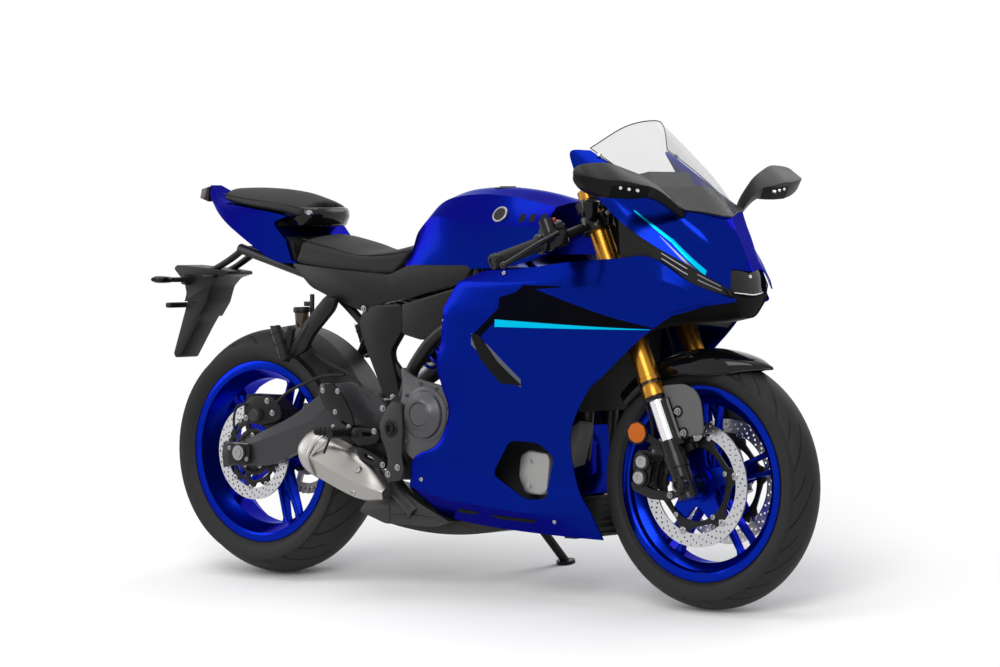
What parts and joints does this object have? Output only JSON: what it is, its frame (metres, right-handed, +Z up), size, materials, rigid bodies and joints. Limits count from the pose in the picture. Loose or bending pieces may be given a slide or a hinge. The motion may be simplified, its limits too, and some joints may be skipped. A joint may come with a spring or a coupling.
{
  "type": "sport motorcycle",
  "caption": "Faired middleweight sport motorcycle parked on its side stand, with turning wheels, steering, folding stand and opening fuel cap.",
  "frame": {"origin": "on the floor under the centre of the leaned motorcycle's bounding box", "axes": "+X ahead along the motorcycle, +Y to the rider's left, +Z up; the motorcycle leans to +Y on its side stand"},
  "size_m": [2.0586, 0.8574, 1.1439],
  "materials": {
    "body_blue": "gloss",
    "black_plastic": "matt",
    "dash_plastic": "matt",
    "screen_clear": "clear",
    "lamp_lens": "gloss",
    "rear_lens": "gloss",
    "seat_cover": "grained",
    "frame_paint": "satin",
    "engine_case": "satin",
    "radiator_core": "matt",
    "exhaust_steel": "brushed",
    "brushed_silencer": "brushed",
    "cast_alloy": "satin",
    "black_alloy": "satin",
    "gold_tube": "anodised",
    "hard_chrome": "polished",
    "hose_rubber": "matt",
    "tyre": "matt",
    "wheel_blue": "gloss",
    "disc_steel": "brushed",
    "chain_steel": "satin",
    "zinc_steel": "satin",
    "cap_metal": "satin"
  },
  "bodies": {
    "frame": {"fairing_right": "body_blue", "fairing_left": "body_blue", "nose_cowl": "body_blue", "fuel_tank": "body_blue", "tail_cowl": "body_blue", "nose_duct": "black_plastic", "frame_covers": "black_plastic", "plate_hanger": "black_plastic", "rear_hugger": "black_plastic", "mirrors": "black_plastic", "dash": "dash_plastic", "windscreen": "screen_clear", "front_lamps": "lamp_lens", "rear_lamps": "rear_lens", "rider_seat": "seat_cover", "passenger_seat": "seat_cover", "main_frame": "frame_paint", "subframe": "frame_paint", "swingarm": "frame_paint", "engine_block": "engine_case", "engine_covers": "engine_case", "radiator": "radiator_core", "exhaust_pipe": "exhaust_steel", "muffler": "brushed_silencer", "rearsets": "cast_alloy", "rear_brake": "black_alloy", "chain": "chain_steel", "rear_axle": "zinc_steel", "shock": "zinc_steel"},
    "steering": {"fork_tubes": "gold_tube", "fork_stanchions": "hard_chrome", "fork_feet": "black_alloy", "upper_yoke": "cast_alloy", "lower_yoke": "cast_alloy", "clip_ons": "cast_alloy", "hand_controls": "black_alloy", "front_fender": "black_plastic", "front_calipers": "black_alloy", "brake_hoses": "hose_rubber"},
    "front_wheel": {"front_tyre": "tyre", "front_rim": "wheel_blue", "front_discs": "disc_steel"},
    "rear_wheel": {"rear_tyre": "tyre", "rear_rim": "wheel_blue", "rear_disc": "disc_steel", "rear_sprocket": "disc_steel"},
    "stand": {"side_stand": "zinc_steel"},
    "cap": {"fuel_cap": "cap_metal"}
  },
  "joints": [
    {"name": "steer", "type": "hinge", "parent": "frame", "child": "steering", "pos_m": [0.82016, -0.16934, 0.00276], "axis": [-0.4015, 0.1512, 0.9033], "range_deg": [-25, 25]},
    {"name": "front_wheel_spin", "type": "hinge", "parent": "steering", "child": "front_wheel", "pos_m": [0.73016, -0.11983, 0.29865], "axis": [0, 0.9863, -0.165], "continuous": true},
    {"name": "rear_wheel_spin", "type": "hinge", "parent": "frame", "child": "rear_wheel", "pos_m": [-0.66484, -0.11735, 0.31344], "axis": [0, 0.9863, -0.165], "continuous": true},
    {"name": "side_stand_fold", "type": "hinge", "parent": "frame", "child": "stand", "pos_m": [-0.02734, 0.02973, 0.22293], "axis": [0.17, 0.879, 0.4456], "range_deg": [0, 109.3]},
    {"name": "fuel_cap_open", "type": "hinge", "parent": "frame", "child": "cap", "pos_m": [0.14566, -0.00338, 0.99447], "axis": [0, 0.9863, -0.165], "range_deg": [0, 90]}
  ]
}
